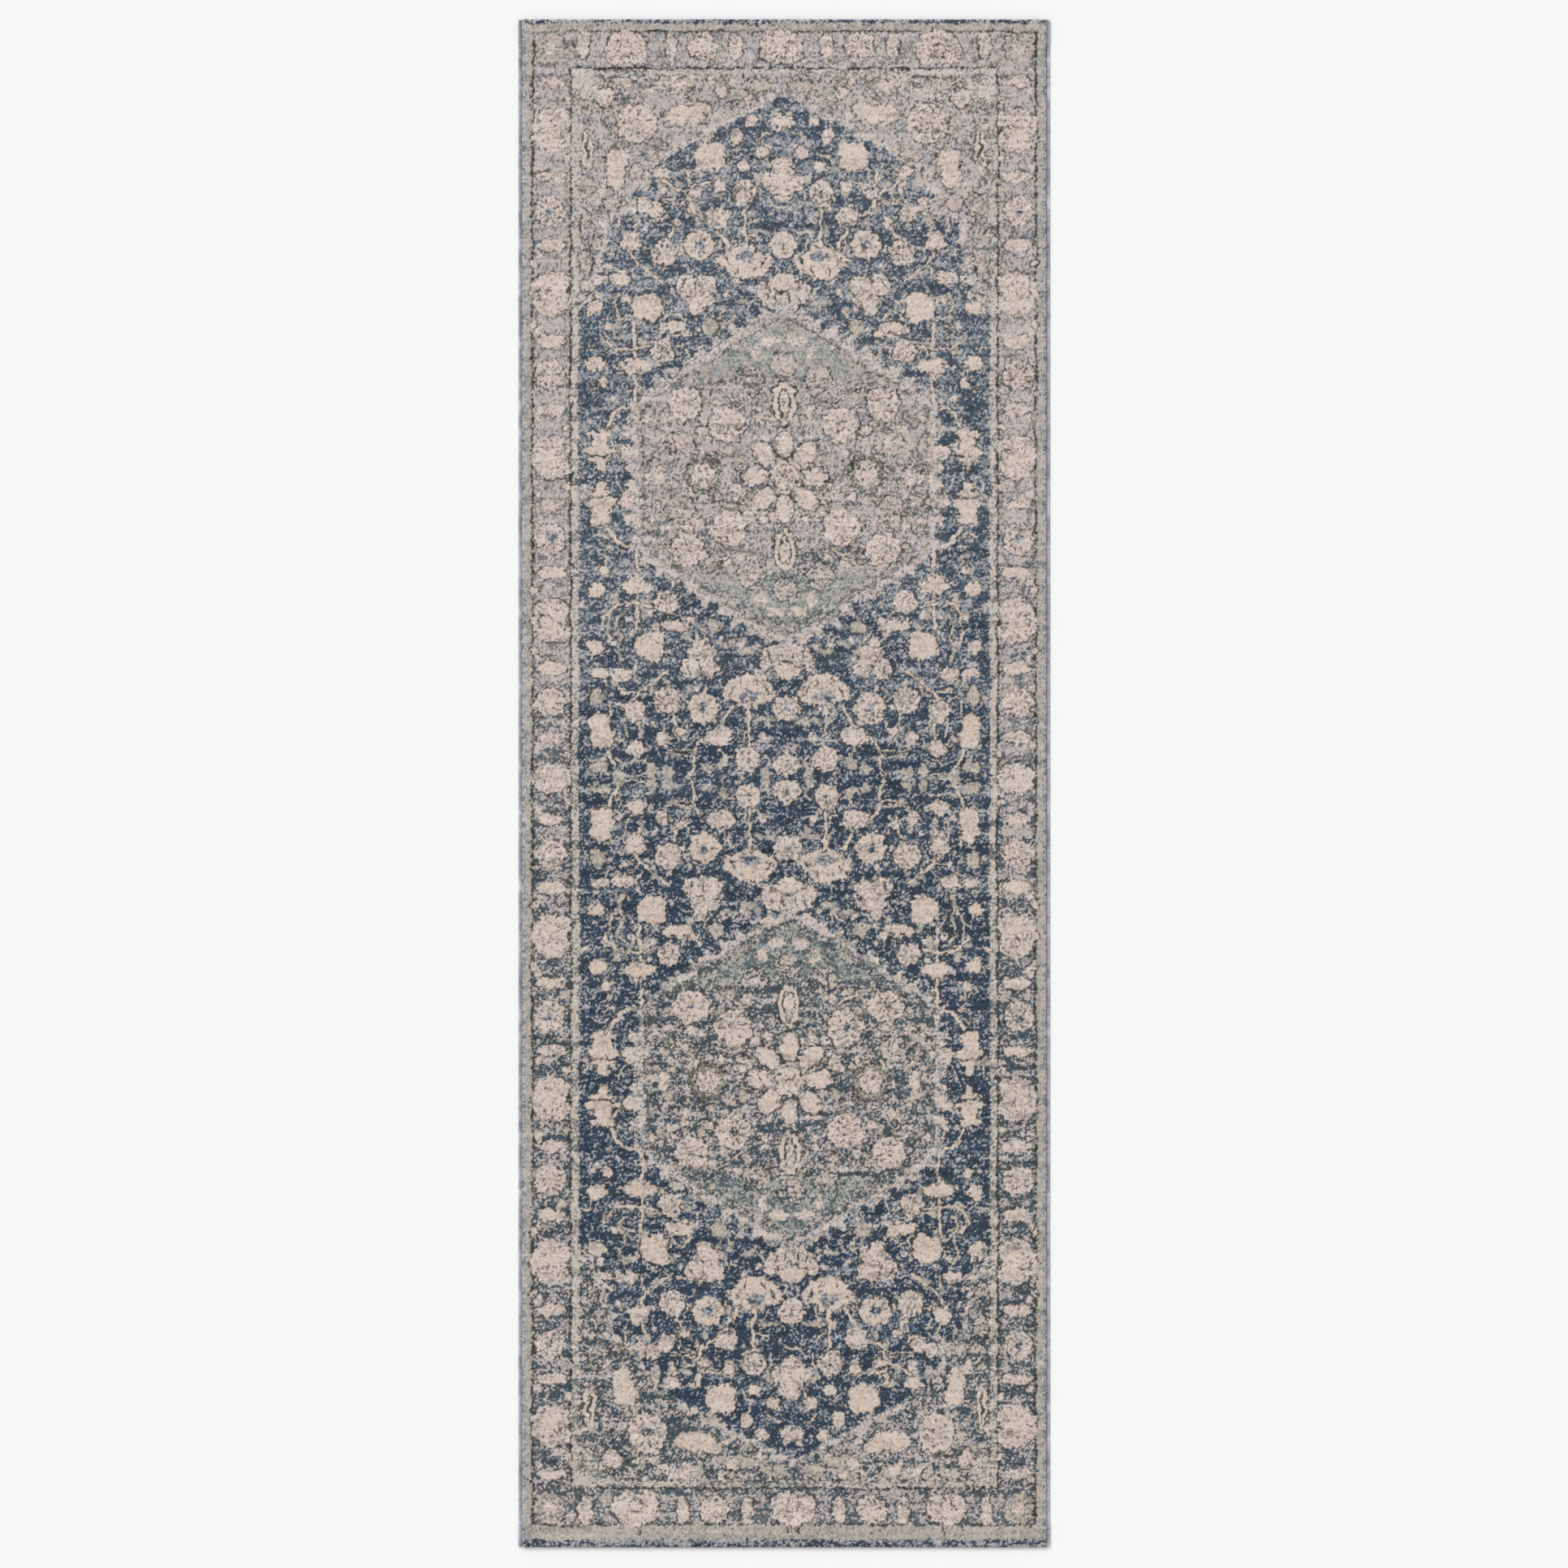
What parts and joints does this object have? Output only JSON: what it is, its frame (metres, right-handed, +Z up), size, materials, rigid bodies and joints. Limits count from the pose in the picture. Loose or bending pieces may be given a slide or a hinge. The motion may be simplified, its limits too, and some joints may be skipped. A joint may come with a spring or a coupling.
{
  "type": "runner rug",
  "caption": "Flat machine-woven runner rug with a patterned cut pile, serged long edges and turned-under, taped ends.",
  "frame": {"origin": "centre of the underside, on the floor", "axes": "+X across the rug, +Y along it towards the head end, +Z up out of the pile"},
  "size_m": [0.813, 2.335, 0.0102],
  "materials": {
    "pile": "matte heathered cut pile, blue, sage, taupe and cream",
    "upper_weft": "matte plain-woven jute-coloured yarn",
    "buried_pile_yarn": "matte mixed pile yarn",
    "stuffer_warp": "matte ecru spun yarn",
    "lower_weft": "matte plain-woven jute-coloured yarn",
    "coating": "matte dried latex",
    "edge_cord": "matte twisted cord",
    "serging": "matte wrapped yarn, blue-grey",
    "adhesive": "hot-melt film",
    "tape": "matte herringbone twill tape",
    "stitches": "polyester sewing thread",
    "label": "blank satin-weave label"
  },
  "bodies": {
    "root": {"cut_pile": "pile", "upper_weft": "upper_weft", "buried_pile_yarn": "buried_pile_yarn", "stuffer_warp": "stuffer_warp", "lower_weft": "lower_weft", "back_coating": "coating", "left_edge_cord": "edge_cord", "right_edge_cord": "edge_cord", "left_serging": "serging", "right_serging": "serging", "head_hem_adhesive": "adhesive", "foot_hem_adhesive": "adhesive", "head_hem_tape": "tape", "foot_hem_tape": "tape", "head_hem_stitches": "stitches", "foot_hem_stitches": "stitches", "care_label": "label"}
  },
  "joints": []
}
